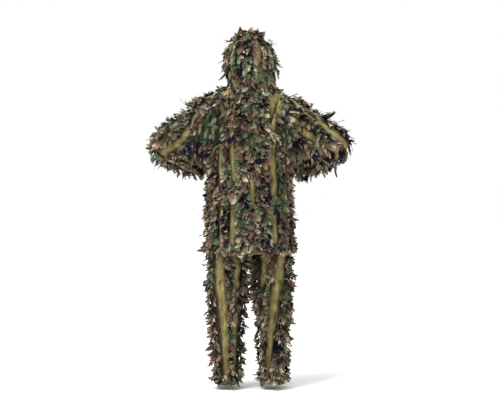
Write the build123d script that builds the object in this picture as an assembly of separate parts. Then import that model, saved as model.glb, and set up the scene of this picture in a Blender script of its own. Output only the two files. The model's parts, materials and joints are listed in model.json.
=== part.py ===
from build123d import *
import os
from math import cos, sin, radians

# Two-piece leaf ghillie suit: hooded zip jacket and elastic-waist trousers.
# Millimetres, +Z up, front towards -Y, the wearer's left towards +X.
# Heights are counted from the trouser hem; the finished parts are lowered by
# NECK_HEIGHT so that the origin lies on the neck line that hangs on the wearer.

# ---- driving dimensions ----
NECK_HEIGHT = 1487.0
CLOTH = 2.0            # mesh ground cloth with its seam allowance
STRIP = 8.0            # pressed-down thickness of a sewn leaf strip
SEWN_GAP = 0.3         # air under a leaf strip
CLEAR = 3.0            # slack between cloth parts that move past each other

HEM_Z = 655.0          # jacket hem
HEM_FRONT_Y = -172.0
NECK_FRONT_Y = -105.0
HEM_BAND = 27.0
NECK_BAND = 16.0

SHOULDER = Vector(172, 0, 1295)
ELBOW = Vector(451, -30, 1195)
WRIST = Vector(260, -240, 1100)
SLEEVE_HEAD_R = 130.0
SLEEVE_ROOT_R = 125.0
SLEEVE_END_R = 66.0
FOREARM_ROOT_R = 62.0
FOREARM_END_R = 55.0
ARM_LIFT = 50.0        # shoulder travel, degrees up
ARM_DROP = 25.0        # shoulder travel, degrees down
ELBOW_MITRE = 27.5     # half of the smallest angle inside the elbow

HIP = Vector(116, 0, 700)
KNEE = Vector(116, 0, 430)
THIGH_ROOT_R = 78.0
THIGH_END_R = 77.0
SHIN_ROOT_R = 74.0
SHIN_END_R = 50.0
HIP_SWING = 25.0
KNEE_MITRE = 45.0

WAIST_Z = 1020.0
WAISTBAND = 36.0
BAND = 2.2             # folded hem laid over the cloth
ELASTIC = 1.5

HOOD_Z = 1490.0
FACE_Z = 1612.0
FACE_HALF_WIDTH = 78.0
FACE_HALF_HEIGHT = 88.0
BINDING = 6.0

ZIP_TAPE = 18.0
ZIP_HALF_GAP = 7.0
ZIP_LENGTH = 800.0
SLIDER_AT = 775.0

SEAT_Z = 640.0
BANDS = 3              # straight-sided bands between two given sections
ALL = 1200.0           # larger than any piece it cuts


# ---- shared shapes ----
def front_y(z):
    """The front edge is one straight line from hem to neck, so the zip can run along it."""
    return HEM_FRONT_Y + (NECK_FRONT_Y - HEM_FRONT_Y) * (z - HEM_Z) / (NECK_HEIGHT - HEM_Z)


def ring_face(ring, grow):
    """An elliptical section (height, half-width, back, front), grown by an offset."""
    z, half_width, back, front = ring
    return Pos(0, (back + front) / 2, z) * Ellipse(half_width + grow, (back - front) / 2 + grow)


def fair(rings):
    """Sections between the given ones, so that the straight-sided bands follow a smooth curve."""
    result = []
    last = len(rings) - 1
    for i in range(last):
        before, here, there, after = rings[max(i - 1, 0)], rings[i], rings[i + 1], rings[min(i + 2, last)]
        span = there[0] - here[0]
        for j in range(BANDS):
            t = j / BANDS
            blended = [here[0] + span * t]
            for k in (1, 2, 3):
                leave = (there[k] - before[k]) / (there[0] - before[0]) * span
                arrive = (after[k] - here[k]) / (after[0] - here[0]) * span
                blended.append(here[k] * (1 + 2 * t) * (1 - t) ** 2 + leave * t * (1 - t) ** 2
                               + there[k] * t * t * (3 - 2 * t) + arrive * t * t * (t - 1))
            result.append(tuple(blended))
    return result + [rings[-1]]


def skin(rings, grow, ends, capped=False):
    """Solid through the sections; ends lengthens it below, and above unless it is capped."""
    rings = fair(rings)
    if ends:
        rings.insert(0, (rings[0][0] - ends, *rings[0][1:]))
    if ends and not capped:
        rings.append((rings[-1][0] + ends, *rings[-1][1:]))
    if capped:
        rings[-1] = (rings[-1][0] + grow, *rings[-1][1:])
    return loft([ring_face(ring, grow) for ring in rings], ruled=True)


def torso(grow=0.0, ends=0.0):
    """Jacket body from hem to neck."""
    widths = ((HEM_Z, 208, 178), (780, 200, 162), (980, 192, 147), (1120, 190, 149), (1230, 190, 143),
              (1330, 194, 130), (1400, 184, 113), (1446, 150, 102), (NECK_HEIGHT, 96, 96))
    return skin([(z, w, b, front_y(z)) for z, w, b in widths], grow, ends)


def hood(grow=0.0, ends=0.0):
    """Round hood from the neck seam to the crown."""
    rings = [(HOOD_Z, 98, 101, -103), (1545, 111, 122, -112), (1610, 112, 132, -116),
             (1665, 98, 120, -104), (1710, 74, 92, -78), (1736, 42, 58, -46), (1747, 16, 26, -14)]
    return skin(rings, grow, ends, capped=True)


def seat(grow=0.0, ends=0.0):
    """Trouser top from the crotch to the waist, with its floor left on."""
    rings = [(SEAT_Z - grow, 184, 116, -116), (740, 188, 121, -121), (900, 174, 117, -117),
             (WAIST_Z + ends, 158, 110, -110)]
    return loft([ring_face(ring, grow) for ring in rings], ruled=True)


def slab(z0, z1, x0=-ALL, x1=ALL, y0=-ALL, y1=ALL):
    """A block between the given limits."""
    size = (x1 - x0, y1 - y0, z1 - z0)
    return Pos((x0 + x1) / 2, (y0 + y1) / 2, (z0 + z1) / 2) * Box(*size)


def beyond(point, normal):
    """Everything on the far side of a plane, as a large block."""
    plane = Plane(origin=point, z_dir=normal)
    return plane.location * Pos(0, 0, ALL / 2) * Box(ALL, ALL, ALL)


def cone(start_r, end_r, length, z0=0.0, sweep=360):
    return Pos(0, 0, z0) * Solid.make_cone(start_r, end_r, length, angle=sweep)


def fan(angle, away=1):
    """Direction in a limb's bending plane: 0 is along the limb, +90 is the crook side."""
    return Vector(0, sin(radians(angle)), away * cos(radians(angle)))


def limb_shell(root_r, end_r, length, ball_r, hole_angle, hole_half, mitre=None, far_mitre=None):
    """Cloth tube along +Z that starts in a round head, cut so that it can bend at both ends."""
    head = Sphere(ball_r)
    rim = ball_r * cos(radians(hole_half))
    head -= beyond(fan(hole_angle) * rim, fan(hole_angle))
    tube = cone(root_r, end_r, length)
    if mitre:
        tube -= beyond(fan(mitre + 90) * -1.0, fan(mitre + 90))
    slope = (end_r - root_r) / length
    hollow = cone(root_r - CLOTH, end_r - CLOTH + slope, length + 1) + Sphere(ball_r - CLOTH)
    shell = (tube + head) - hollow
    if far_mitre:
        normal = fan(far_mitre + 90, -1)
        shell -= beyond(Vector(0, 0, length) - normal * 1.0, normal)
    return shell


def limb_strips(root_r, end_r, length, z0, z1, count, mitre=None, far_mitre=None, cover=0.72):
    """Leaf strips sewn lengthways round a cloth tube."""
    slope = (end_r - root_r) / length
    r0 = root_r + slope * z0 + SEWN_GAP
    r1 = root_r + slope * z1 + SEWN_GAP
    pitch = 360 / count
    strips = []
    for i in range(count):
        strip = cone(r0 + STRIP, r1 + STRIP, z1 - z0, z0, pitch * cover)
        strip -= cone(r0, r1, z1 - z0, z0)
        strip = Rot(0, 0, pitch * (i - cover / 2)) * strip
        if mitre:
            strip -= beyond(fan(mitre + 90) * -2.0, fan(mitre + 90))
        if far_mitre:
            normal = fan(far_mitre + 90, -1)
            strip -= beyond(Vector(0, 0, length) - normal * 2.0, normal)
        strips += strip.solids()
    return Compound(strips)


def band(radius_at, z0, z1, inner, outer):
    """A short ring on a tapered tube, between two offsets from its surface."""
    r0, r1 = radius_at(z0), radius_at(z1)
    return cone(r0 + outer, r1 + outer, z1 - z0, z0) - cone(r0 + inner, r1 + inner, z1 - z0, z0)


def limb_place(start, end, crook):
    """Frame at a limb's start: Z along it, Y on the side towards which it bends."""
    along = (end - start).normalized()
    across = crook.cross(along).normalized()
    return Plane(origin=start, x_dir=across, z_dir=along).location


def mirrored(shape):
    return mirror(shape, about=Plane.YZ)


def carve(shape, rooms):
    """Take each of the given spaces out of a shape."""
    for room in rooms:
        shape = shape - room
    return shape


def save(name, shape):
    solids = [Pos(0, 0, -NECK_HEIGHT) * s for s in shape.solids()]
    piece = solids[0] if len(solids) == 1 else Compound(solids)
    piece.label = name
    export_step(piece, f"parts/{name}.step")


def save_pair(name, left_shape):
    save(f"left_{name}", left_shape)
    save(f"right_{name}", mirrored(left_shape))


os.makedirs("parts", exist_ok=True)

# ---- sleeves ----
upper_arm = ELBOW - SHOULDER
forearm = WRIST - ELBOW
upper_length = upper_arm.length
forearm_length = forearm.length
upper_place = limb_place(SHOULDER, ELBOW, forearm)
forearm_place = limb_place(ELBOW, WRIST, -upper_arm)

upper_sleeve = limb_shell(SLEEVE_ROOT_R, SLEEVE_END_R, upper_length, SLEEVE_HEAD_R,
                          180, 48, far_mitre=ELBOW_MITRE)
upper_strips = limb_strips(SLEEVE_ROOT_R, SLEEVE_END_R, upper_length, 150, upper_length - 26,
                           7, far_mitre=ELBOW_MITRE)
save_pair("upper_sleeve_panel", upper_place * upper_sleeve)
save_pair("upper_sleeve_leaf_strips", upper_place * upper_strips)


def forearm_r(z):
    return FOREARM_ROOT_R + (FOREARM_END_R - FOREARM_ROOT_R) * z / forearm_length


forearm_sleeve = limb_shell(FOREARM_ROOT_R, FOREARM_END_R, forearm_length, FOREARM_ROOT_R,
                            86, 58, mitre=ELBOW_MITRE)
forearm_strips = limb_strips(FOREARM_ROOT_R, FOREARM_END_R, forearm_length, 26,
                             forearm_length - 34, 6, mitre=ELBOW_MITRE)
cuff_start = forearm_length - 26
cuff_band = band(forearm_r, cuff_start, forearm_length, 0, BAND)
cuff_elastic = band(forearm_r, cuff_start + 5, forearm_length - 5, -CLOTH - ELASTIC, -CLOTH)
save_pair("forearm_sleeve_panel", forearm_place * forearm_sleeve)
save_pair("forearm_leaf_strips", forearm_place * forearm_strips)
save_pair("cuff_band", forearm_place * cuff_band)
save_pair("cuff_elastic", forearm_place * cuff_elastic)


# ---- room that the sleeve sweeps through the armhole ----
def sleeve_sweep(extra):
    outline = cone(SLEEVE_ROOT_R + extra, SLEEVE_END_R + extra, upper_length)
    rooms = [Pos(*SHOULDER) * Sphere(SLEEVE_HEAD_R + extra)]
    steps = 6
    for i in range(steps + 1):
        turn = ARM_DROP - (ARM_DROP + ARM_LIFT) * i / steps
        spun = Rot(0, turn, 0) * Pos(*(-SHOULDER)) * upper_place * outline
        rooms.append(Pos(*SHOULDER) * spun)
    return rooms + [mirrored(room) for room in rooms]


arm_room = sleeve_sweep(CLEAR)
strip_room = sleeve_sweep(STRIP + CLEAR)

# ---- jacket body ----
body_shell = carve(torso() - torso(-CLOTH, 1), arm_room)
back_panel = body_shell - slab(0, 2000, y1=0)
front_panel = body_shell - slab(0, 2000, y0=0) - slab(0, 2000, x1=ZIP_HALF_GAP)
save("jacket_back_panel", back_panel)
save_pair("jacket_front_panel", front_panel)

zip_clearance = slab(0, 2000, -ZIP_TAPE - 2, ZIP_TAPE + 2, y1=0)
hem_ring = torso(-CLOTH) - torso(-CLOTH - BAND, 1)
hem_band = (hem_ring & slab(HEM_Z, HEM_Z + HEM_BAND)) - zip_clearance
neck_ring = torso(BAND) - torso(0, 1)
neck_band = (neck_ring & slab(NECK_HEIGHT - NECK_BAND, NECK_HEIGHT)) - zip_clearance
save("jacket_hem_band", hem_band)
save("neck_seam_band", neck_band)

loop_blank = slab(1452, 1474, -26, 26, 40, 140) & (torso(-CLOTH) - torso(-CLOTH - 2.5, 1))
hanger_loop = loop_blank - slab(1457, 1469, -20, 20)
save("hanger_loop", hanger_loop)

leaf_layer = torso(SEWN_GAP + STRIP) - torso(SEWN_GAP, 1)
leaf_layer = carve(leaf_layer & slab(HEM_Z, 1440), strip_room)
BACK_STRIPS = 5
BACK_PITCH = 84.0
BACK_WIDTH = 58.0
back_strips = []
for i in range(BACK_STRIPS):
    x = BACK_PITCH * (i - (BACK_STRIPS - 1) / 2)
    back_strips += (leaf_layer & slab(0, 2000, x - BACK_WIDTH / 2, x + BACK_WIDTH / 2, y0=6)).solids()
save("jacket_back_leaf_strips", Compound(back_strips))
FRONT_START = 30.0
FRONT_PITCH = 78.0
front_strips = []
for i in range(2):
    x = FRONT_START + FRONT_PITCH * i
    front_strips += (leaf_layer & slab(0, 2000, x, x + BACK_WIDTH, y1=-6)).solids()
save_pair("front_leaf_strips", Compound(front_strips))

# ---- front zip: local X across, local Z up the front edge, local -Y outwards ----
zip_line = Vector(0, NECK_FRONT_Y - HEM_FRONT_Y, NECK_HEIGHT - HEM_Z)
zip_place = Plane(origin=(0, HEM_FRONT_Y, HEM_Z), x_dir=(1, 0, 0), z_dir=zip_line).location
TAPE_FACE = 2.0
TAPE_THICK = 1.4
CHAIN_HALF = 2.7
CHAIN_GAP = 0.8
tape = zip_place * slab(8, ZIP_LENGTH + 14, CHAIN_HALF, ZIP_TAPE, TAPE_FACE, TAPE_FACE + TAPE_THICK)
tape -= front_panel
chain_side = zip_place * slab(14, ZIP_LENGTH, CHAIN_GAP, CHAIN_HALF, 0.9, 3.1)
stop_side = slab(ZIP_LENGTH, ZIP_LENGTH + 5, CHAIN_GAP, CHAIN_HALF, 0.4, 3.6)
stop_foot = slab(8, 14, -CHAIN_HALF, CHAIN_HALF, 0.2, 3.8)
save_pair("zip_tape", tape)
save("zip_chain", Compound((chain_side + mirrored(chain_side)).solids()))
stops = zip_place * Compound((stop_side + mirrored(stop_side) + stop_foot).solids())
save("zip_end_stops", stops)

SLIDER_HALF = 5.2
SLIDER_LENGTH = 13.0
slider_top = SLIDER_AT + SLIDER_LENGTH
wings = slab(SLIDER_AT, slider_top, -SLIDER_HALF, SLIDER_HALF, -1.6, 5.4)
tape_slots = slab(SLIDER_AT - 1, slider_top + 1, -SLIDER_HALF - 1, SLIDER_HALF + 1, 1.4, 4.0)
chain_room = slab(SLIDER_AT - 1, slider_top + 1, -CHAIN_HALF - 0.5, CHAIN_HALF + 0.5, 0.4, 4.0)
bridge = slab(SLIDER_AT, slider_top, -0.4, 0.4, -1.0, 4.8)
PIN_Z = SLIDER_AT + 8.0
PIN_Y = -3.6
bail = slab(PIN_Z - 2.4, PIN_Z + 2.4, -1.0, 1.0, -5.6, -1.6)
pin_bore = Pos(0, PIN_Y, PIN_Z) * Rot(0, 90, 0) * Cylinder(0.95, 10)
slider = (wings - tape_slots - chain_room + bridge + bail) - pin_bore
save("zip_slider", zip_place * slider)

pin = Pos(0, PIN_Y, PIN_Z) * Rot(0, 90, 0) * Cylinder(0.6, 5.6)
arm_blank = slab(PIN_Z - 7, PIN_Z + 1.1, 1.3, 2.8, PIN_Y - 0.9, PIN_Y + 0.9)
grip = slab(PIN_Z - 30, PIN_Z - 6, -3.4, 3.4, PIN_Y - 0.7, PIN_Y + 0.7)
grip_hole = Pos(0, PIN_Y, PIN_Z - 26) * Rot(90, 0, 0) * Cylinder(1.4, 10)
pull = (pin + arm_blank + mirrored(arm_blank) + grip) - grip_hole
save("zip_pull_tab", zip_place * pull)

# ---- hood ----
face = Pos(0, -120, FACE_Z) * Rot(90, 0, 0) * extrude(
    Ellipse(FACE_HALF_WIDTH, FACE_HALF_HEIGHT), 90, both=True)
face_inner = Pos(0, -120, FACE_Z) * Rot(90, 0, 0) * extrude(
    Ellipse(FACE_HALF_WIDTH - BINDING, FACE_HALF_HEIGHT - BINDING), 91, both=True)
hood_shell = (hood() - hood(-CLOTH, 1)) - face
save_pair("hood_panel", hood_shell - slab(0, 2000, x1=0))

binding = (hood(1.2) - hood(-CLOTH - 1.2, 1)) & (face - face_inner)
elastic_out = Pos(0, -120, FACE_Z) * Rot(90, 0, 0) * extrude(
    Ellipse(FACE_HALF_WIDTH - 1.6, FACE_HALF_HEIGHT - 1.6), 90, both=True)
elastic_in = Pos(0, -120, FACE_Z) * Rot(90, 0, 0) * extrude(
    Ellipse(FACE_HALF_WIDTH - 4.4, FACE_HALF_HEIGHT - 4.4), 91, both=True)
face_elastic = (hood(-0.2) - hood(-CLOTH + 0.2, 1)) & (elastic_out - elastic_in)
save("face_opening_binding", binding - face_elastic)
save("face_opening_elastic", face_elastic)

hood_layer = (hood(SEWN_GAP + STRIP) - hood(SEWN_GAP, 1)) & slab(HOOD_Z + 34, 1730)
hood_layer -= slab(0, FACE_Z + FACE_HALF_HEIGHT + 14, y1=-30)
HOOD_PITCH = 49.0
HOOD_WIDTH = 37.0
hood_strips = []
for i in range(5):
    x = HOOD_PITCH * (i - 2)
    hood_strips += (hood_layer & slab(0, 2000, x - HOOD_WIDTH / 2, x + HOOD_WIDTH / 2)).solids()
save("hood_leaf_strips", Compound(hood_strips))

# ---- trousers ----
thigh_length = HIP.Z - KNEE.Z
shin_length = KNEE.Z
thigh_place = limb_place(HIP, KNEE, Vector(0, 1, 0))
shin_place = limb_place(KNEE, Vector(KNEE.X, 0, 0), Vector(0, 1, 0))

leg_room = [Pos(*HIP) * Sphere(THIGH_ROOT_R + CLEAR)]
thigh_outline = thigh_place * cone(THIGH_ROOT_R + CLEAR, THIGH_END_R + CLEAR, thigh_length)
for turn in (-HIP_SWING, 0, HIP_SWING):
    leg_room.append(Pos(*HIP) * (Rot(turn, 0, 0) * Pos(*(-HIP)) * thigh_outline))
seat_half = (seat() - seat(-CLOTH, 1)) - slab(0, 2000, x1=0)
save_pair("trouser_seat_panel", carve(seat_half, leg_room))


def waist_ring(z0, z1, inner, outer):
    ring = Ellipse(158 + outer, 110 + outer) - Ellipse(158 + inner, 110 + inner)
    return Pos(0, 0, z0) * extrude(ring, z1 - z0)


save("waistband", waist_ring(WAIST_Z, WAIST_Z + WAISTBAND, -2.0, 1.0))
save("waist_elastic", waist_ring(WAIST_Z + 4, WAIST_Z + WAISTBAND - 4, -2.0 - ELASTIC, -2.0))

thigh = limb_shell(THIGH_ROOT_R, THIGH_END_R, thigh_length, THIGH_ROOT_R, 180, 55,
                   far_mitre=KNEE_MITRE)
thigh_strips = limb_strips(THIGH_ROOT_R, THIGH_END_R, thigh_length, 102, thigh_length - 20,
                           5, far_mitre=KNEE_MITRE)
save_pair("thigh_panel", thigh_place * thigh)
save_pair("thigh_leaf_strips", thigh_place * thigh_strips)


def shin_r(z):
    return SHIN_ROOT_R + (SHIN_END_R - SHIN_ROOT_R) * z / shin_length


shin = limb_shell(SHIN_ROOT_R, SHIN_END_R, shin_length, SHIN_ROOT_R, 165, 30, mitre=KNEE_MITRE)
shin_strips = limb_strips(SHIN_ROOT_R, SHIN_END_R, shin_length, 20, shin_length - 34, 5,
                          mitre=KNEE_MITRE)
ankle_band = band(shin_r, shin_length - 28, shin_length, 0, BAND)
ankle_elastic = band(shin_r, shin_length - 22, shin_length - 6, -CLOTH - ELASTIC, -CLOTH)
save_pair("shin_panel", shin_place * shin)
save_pair("shin_leaf_strips", shin_place * shin_strips)
save_pair("ankle_hem_band", shin_place * ankle_band)
save_pair("ankle_elastic", shin_place * ankle_elastic)
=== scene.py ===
import json
import math

import bpy
import numpy as np
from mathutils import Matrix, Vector

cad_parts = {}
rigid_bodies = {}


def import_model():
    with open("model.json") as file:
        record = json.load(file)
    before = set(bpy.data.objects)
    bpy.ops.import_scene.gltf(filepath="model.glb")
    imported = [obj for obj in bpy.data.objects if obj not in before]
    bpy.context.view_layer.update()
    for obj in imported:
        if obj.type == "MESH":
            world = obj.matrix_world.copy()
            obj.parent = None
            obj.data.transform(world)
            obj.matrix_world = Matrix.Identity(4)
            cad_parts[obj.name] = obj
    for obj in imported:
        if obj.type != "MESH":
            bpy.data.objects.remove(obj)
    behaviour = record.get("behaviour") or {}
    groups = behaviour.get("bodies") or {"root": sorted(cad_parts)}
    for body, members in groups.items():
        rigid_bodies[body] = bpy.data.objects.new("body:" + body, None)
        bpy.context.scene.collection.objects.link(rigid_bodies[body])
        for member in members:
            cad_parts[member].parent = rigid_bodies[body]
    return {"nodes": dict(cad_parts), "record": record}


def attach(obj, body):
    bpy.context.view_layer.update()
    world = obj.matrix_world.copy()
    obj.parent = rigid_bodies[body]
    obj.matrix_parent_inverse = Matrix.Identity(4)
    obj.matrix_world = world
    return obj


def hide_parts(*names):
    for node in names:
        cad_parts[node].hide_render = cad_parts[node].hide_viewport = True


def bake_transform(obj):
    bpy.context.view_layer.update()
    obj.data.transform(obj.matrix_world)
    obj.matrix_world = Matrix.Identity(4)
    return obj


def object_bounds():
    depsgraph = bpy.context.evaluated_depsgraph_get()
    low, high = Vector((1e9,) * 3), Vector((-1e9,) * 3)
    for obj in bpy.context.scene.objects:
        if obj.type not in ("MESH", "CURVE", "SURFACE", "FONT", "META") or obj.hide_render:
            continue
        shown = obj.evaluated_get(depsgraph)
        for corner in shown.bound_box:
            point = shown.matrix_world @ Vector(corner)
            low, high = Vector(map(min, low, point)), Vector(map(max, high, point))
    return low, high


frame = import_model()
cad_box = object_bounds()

# Metres, in the CAD frame: origin on the neck line, +Z up, front towards -Y, wearer's left +X.
# Heights in the tables below are counted from the trouser hem, as on the pattern.
NECK = 1.487
TAU = 2 * math.pi
UP = np.array((0.0, 0.0, 1.0))
SIDES = ((1, "left"), (-1, "right"))
MESH, LEAVES, TAPE = "olive_mesh_cloth", "camo_leaf_cloth", "binding_tape"    # material slots


# ---------------------------------------------------------------- curves and surfaces
def unit(v):
    v = np.asarray(v, float)
    return v / np.maximum(np.linalg.norm(v, axis=-1, keepdims=True), 1e-9)


def glide(keys, at):
    """Smooth interpolation of the rows (position, values...) at the given positions."""
    k = np.array(keys, float)
    x, y = k[:, 0], k[:, 1:]
    slope = np.gradient(y, x, axis=0)
    i = np.clip(np.searchsorted(x, at, side="right") - 1, 0, len(x) - 2)
    h = (x[i + 1] - x[i])[..., None]
    t = np.clip((at - x[i])[..., None] / h, 0, 1)
    return (y[i] * (1 + 2 * t) * (1 - t) ** 2 + slope[i] * h * t * (1 - t) ** 2
            + y[i + 1] * t * t * (3 - 2 * t) + slope[i + 1] * h * t * t * (t - 1))


def step(lo, hi, x):
    t = np.clip((x - lo) / (hi - lo), 0, 1)
    return t * t * (3 - 2 * t)


def ripple(u, v, seed, waves=(3, 5, 8, 11), drift=5.0):
    """Soft lengthways folds round a tube: periodic in u, wandering along v."""
    r = np.random.default_rng(seed)
    total = 0
    for k, m in enumerate(waves):
        phase, wander, twist = r.random(3)
        total = total + np.cos(TAU * (m * u + phase) + drift * (wander + .4) * v
                               + 1.5 * np.sin(3.1 * v * drift * .3 + TAU * twist)) / (1 + .35 * k)
    return total / len(waves) * 2


def wrinkle(u, run, seed, girth):
    """Sharp-edged creases that cross a tube on a slant. run is the distance along it in metres."""
    r = np.random.default_rng(seed)
    total = 0
    for length, slant in ((.052, 1.3), (.075, -2.2), (.034, 2.6), (.110, .8)):
        shift, wander = r.random(2)
        around = np.sin(TAU * u + TAU * shift) * girth
        swerve = .35 * np.sin(TAU * (2 * u + wander) + run / .09)
        total = total + length * (1 - 2 * np.abs(np.sin(math.pi * ((run + slant * around) / length
                                                                   + swerve + shift))) ** .8)
    return total / .27


# Height, half-width, and where the back and the front lie, for each ring of jacket, hood and seat
TORSO = ((.655, .206, .172, -.172), (.780, .200, .160, -.1619), (.980, .192, .146, -.1458),
         (1.120, .190, .147, -.1346), (1.230, .192, .142, -.1257), (1.330, .194, .130, -.1176),
         (1.400, .184, .114, -.1120), (1.446, .150, .103, -.1083), (1.487, .097, .096, -.1050))
TORSO_SPAN = TORSO[-1][0] - TORSO[0][0]
HOOD = ((1.462, .100, .098, -.106), (1.490, .099, .102, -.104), (1.545, .111, .122, -.112),
        (1.610, .112, .131, -.116), (1.665, .098, .119, -.104), (1.710, .074, .091, -.078),
        (1.736, .042, .057, -.046), (1.747, .016, .026, -.014), (1.7495, .001, .007, .005))
HOOD_SPAN = HOOD[-1][0] - HOOD[0][0]
SEAT = ((.648, .150, .095, -.095), (.665, .180, .114, -.114), (.740, .186, .119, -.119),
        (.900, .172, .115, -.115), (1.020, .156, .108, -.108), (1.056, .157, .109, -.109))
# Height and radius of each ring of a trouser leg
LEG = ((-.002, .0535), (.030, .0505), (.120, .058), (.260, .064), (.430, .0755), (.600, .079),
       (.745, .079))
LEG_SPAN = LEG[-1][0] - LEG[0][0]
LEG_X = .116                      # from the middle of the seat to the middle of a leg


def oval(keys):
    """A surface of elliptical rings stacked in height. u runs from the back towards +X."""
    lo, hi = keys[0][0], keys[-1][0]

    def at(u, v, lift=0.0):
        h = lo + (hi - lo) * v
        ring = glide(keys, h)
        width, back, front = ring[..., 0] + lift, ring[..., 1] + lift, ring[..., 2] - lift
        a = TAU * u
        y = (back + front) / 2 + (back - front) / 2 * np.cos(a)
        return np.stack((width * np.sin(a), y, h - NECK), -1)
    return at


torso_plain, hood_plain, seat_plain = oval(TORSO), oval(HOOD), oval(SEAT)


def torso(u, v, lift=0.0):
    h = TORSO[0][0] + TORSO_SPAN * v
    quiet = step(.02, .09, np.abs(u - .5)) * (1 - .75 * step(1.36, 1.47, h))
    fold = (.0055 * (1.35 - v) * ripple(u, v, 3) + .0025 * ripple(u, v, 4, (2, 6, 17), 11)
            + .0022 * wrinkle(u, v * TORSO_SPAN, 5, .17)) * quiet
    return torso_plain(u, v, lift + fold)


def hood(u, v, lift=0.0):
    calm = step(0, .25, v) * (1 - step(.8, 1, v)) * step(.06, .2, np.abs(u - .5))
    fold = .0028 * ripple(u, v, 8, (3, 5, 9), 6) + .0016 * wrinkle(u, .3 * v, 9, .1)
    return hood_plain(u, v, lift + fold * calm)


def seat(u, v, lift=0.0):
    return seat_plain(u, v, lift + .003 * ripple(u, v, 12, (7, 12, 17)) * step(.1, .4, v))


def leg(side):
    """Trouser leg from the hem (v 0) up into the seat (v 1). u runs from the back outwards."""
    def at(u, v, lift=0.0):
        h = LEG[0][0] + LEG_SPAN * v
        sag = (.004 * ripple(u, v, 20 + side, (2, 3, 5, 7), 8)
               + .0025 * ripple(u, v, 30 + side, (1, 4), 38) + .0030 * wrinkle(u, h, 24 + side, .07))
        r = glide(LEG, h)[..., 0] + lift + sag * step(0, .06, v) * (1 - step(.85, 1, v))
        a = TAU * u
        return np.stack((side * (LEG_X + r * np.sin(a)), r * np.cos(a), h - NECK), -1)
    return at


SHOULDER = np.array((.172, 0, 1.295 - NECK))
ELBOW = np.array((.451, -.030, 1.195 - NECK))
WRIST = np.array((.260, -.240, 1.100 - NECK))
ALONG, FORE = unit(ELBOW - SHOULDER), unit(WRIST - ELBOW)
HINGE = unit(np.cross(FORE, -ALONG))
ROOT = SHOULDER - .075 * ALONG
BEND = .072                       # length of sleeve on each side of the elbow that curves
UPPER = float(np.linalg.norm(ELBOW - ROOT))
FOREARM = float(np.linalg.norm(WRIST - ELBOW))
ARC = BEND * 1.62                 # length of the curve that joins them
SLEEVE = UPPER - BEND + ARC + FOREARM - BEND
# Distance along the sleeve, half-thickness across the elbow's hinge, half-thickness along it
GIRTH = ((0, .118, .148), (.075, .116, .142), (.14, .110, .126), (.20, .099, .108), (.27, .084, .088),
         (.34, .071, .072), (.42, .066, .066), (.52, .061, .062), (SLEEVE - .03, .0560, .0560),
         (SLEEVE, .0555, .0555))


def sleeve_line(s):
    """Point and direction on the sleeve's middle line, s metres from its root."""
    a, b = UPPER - BEND, UPPER - BEND + ARC
    t = np.clip((s - a) / (b - a), 0, 1)[..., None]
    p0, p2 = ELBOW - BEND * ALONG, ELBOW + BEND * FORE
    turn = (1 - t) ** 2 * p0 + 2 * t * (1 - t) * ELBOW + t * t * p2
    turn_way = unit((1 - t) * (ELBOW - p0) + t * (p2 - ELBOW))
    s = s[..., None]
    first, last = ROOT + s * ALONG, ELBOW + (s - b + BEND) * FORE
    point = np.where(s < a, first, np.where(s > b, last, turn))
    way = np.where(s < a, ALONG, np.where(s > b, FORE, turn_way))
    return point, way


def sleeve(side):
    """Sleeve from inside the armhole (v 0) to the cuff (v 1). u 0 is the outside of the elbow."""
    def at(u, v, lift=0.0):
        point, way = sleeve_line(np.asarray(v, float) * SLEEVE)
        outside = unit(np.cross(way, HINGE))
        girth = glide(GIRTH, np.asarray(v, float) * SLEEVE)
        calm = step(0, .2, v) * (1 - step(.93, .99, v))
        fold = (.0045 * ripple(u, v, 40 + side, (2, 3, 5), 16)
                + .003 * ripple(u, v, 50 + side, (1, 4), 42)
                + .0028 * wrinkle(u, v * SLEEVE, 44 + side, .08)) * calm
        a = (TAU * u)[..., None]
        across, along = np.split(girth + (lift + fold)[..., None], 2, axis=-1)
        p = point + across * np.cos(a) * outside + along * np.sin(a) * HINGE
        sag = np.exp(-((v * SLEEVE - .13) / .10) ** 2) * np.maximum(np.sin(TAU * u - .3), 0)
        p = p - (.030 * sag)[..., None] * UP
        return p * np.array((side, 1, 1))
    return at


def frames(surface, u, v):
    """Points on a surface with unit vectors round it, along it (v rising) and out of it."""
    u, v = np.asarray(u, float), np.asarray(v, float)
    zero = np.zeros_like(u)
    p = surface(u, v, zero)
    du = surface(u + .004, v, zero) - surface(u - .004, v, zero)
    v0, v1 = np.clip(v - .006, 0, 1), np.clip(v + .006, 0, 1)
    dv = surface(u, v1, zero) - surface(u, v0, zero)
    out = surface(u, v, zero + .004) - p
    du, dv = unit(du), unit(dv)
    n = np.cross(du, dv)
    n = unit(n * np.sign(np.sum(n * out, -1, keepdims=True)))
    return p, du, dv, n


# ---------------------------------------------------------------- where the bare bands run
def drifting(low, high):
    """A value that changes evenly from v 0 to v 1."""
    return lambda v: low + (high - low) * np.asarray(v, float)


def settling(low, high):
    """A value that changes from v 0 to the elbow and stays there."""
    return lambda v: low + (high - low) * step(0, .56, np.asarray(v, float))


def strips_between(bands, girth, least, drift=drifting):
    """Centre and width functions of the strips that fill the space between bare bands of mesh.

    bands holds each band's u at its two ends and its width in metres; they close into a ring.
    """
    around = bands + ((bands[0][0] + 1, bands[0][1] + 1, bands[0][2]),)
    for (a0, a1, a_wide), (b0, b1, b_wide) in zip(around[:-1], around[1:]):
        middle, space = drift((a0 + b0) / 2, (a1 + b1) / 2), drift(b0 - a0, b1 - a1)
        shift, taken = (a_wide - b_wide) / 4, (a_wide + b_wide) / 2
        yield (lambda v, middle=middle, shift=shift: middle(v) + shift / girth(v),
               lambda v, space=space, taken=taken: np.maximum(space(v) * girth(v) - taken, least))


def torso_round(v):
    return TAU * (.172 - .078 * step(.86, 1, np.asarray(v, float)))


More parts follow.
